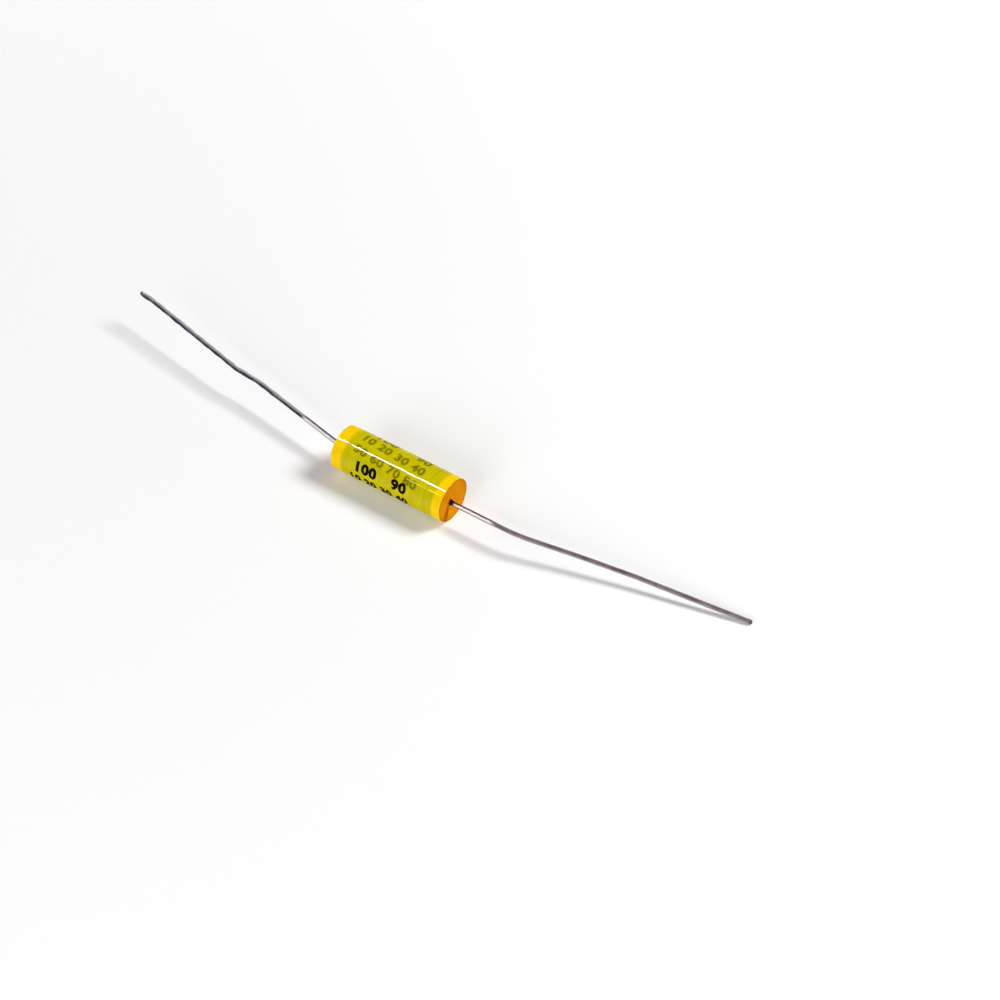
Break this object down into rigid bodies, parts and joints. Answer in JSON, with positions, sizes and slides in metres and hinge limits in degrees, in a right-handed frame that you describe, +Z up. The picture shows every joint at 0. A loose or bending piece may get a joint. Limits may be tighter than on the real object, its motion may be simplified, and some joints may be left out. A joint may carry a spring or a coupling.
{
  "type": "film capacitor",
  "caption": "Axial film capacitor: a round film winding in a yellow tape wrap, with resin-filled ends and bent tinned wire leads for soldering into a circuit.",
  "frame": {"origin": "on the floor, under the middle of the body", "axes": "+X along the body's axis from the left lead to the right lead, +Y to the far side in the picture, +Z up"},
  "size_m": [0.0913, 0.0092, 0.0056],
  "materials": {
    "tape": "glossy, translucent yellow polyester tape, olive where the winding shows through",
    "film": "wound metallised polyester film",
    "end_metal": "matt grey sprayed zinc",
    "solder": "soft solder",
    "resin": "smooth amber casting resin",
    "tinned_wire": "tinned copper wire, drawn, slightly dulled"
  },
  "bodies": {
    "root": {"wrap": "tape", "winding": "film", "end_spray_left": "end_metal", "end_spray_right": "end_metal", "solder_left": "solder", "solder_right": "solder", "resin_left": "resin", "resin_right": "resin", "lead_left": "tinned_wire", "lead_right": "tinned_wire"}
  },
  "joints": []
}
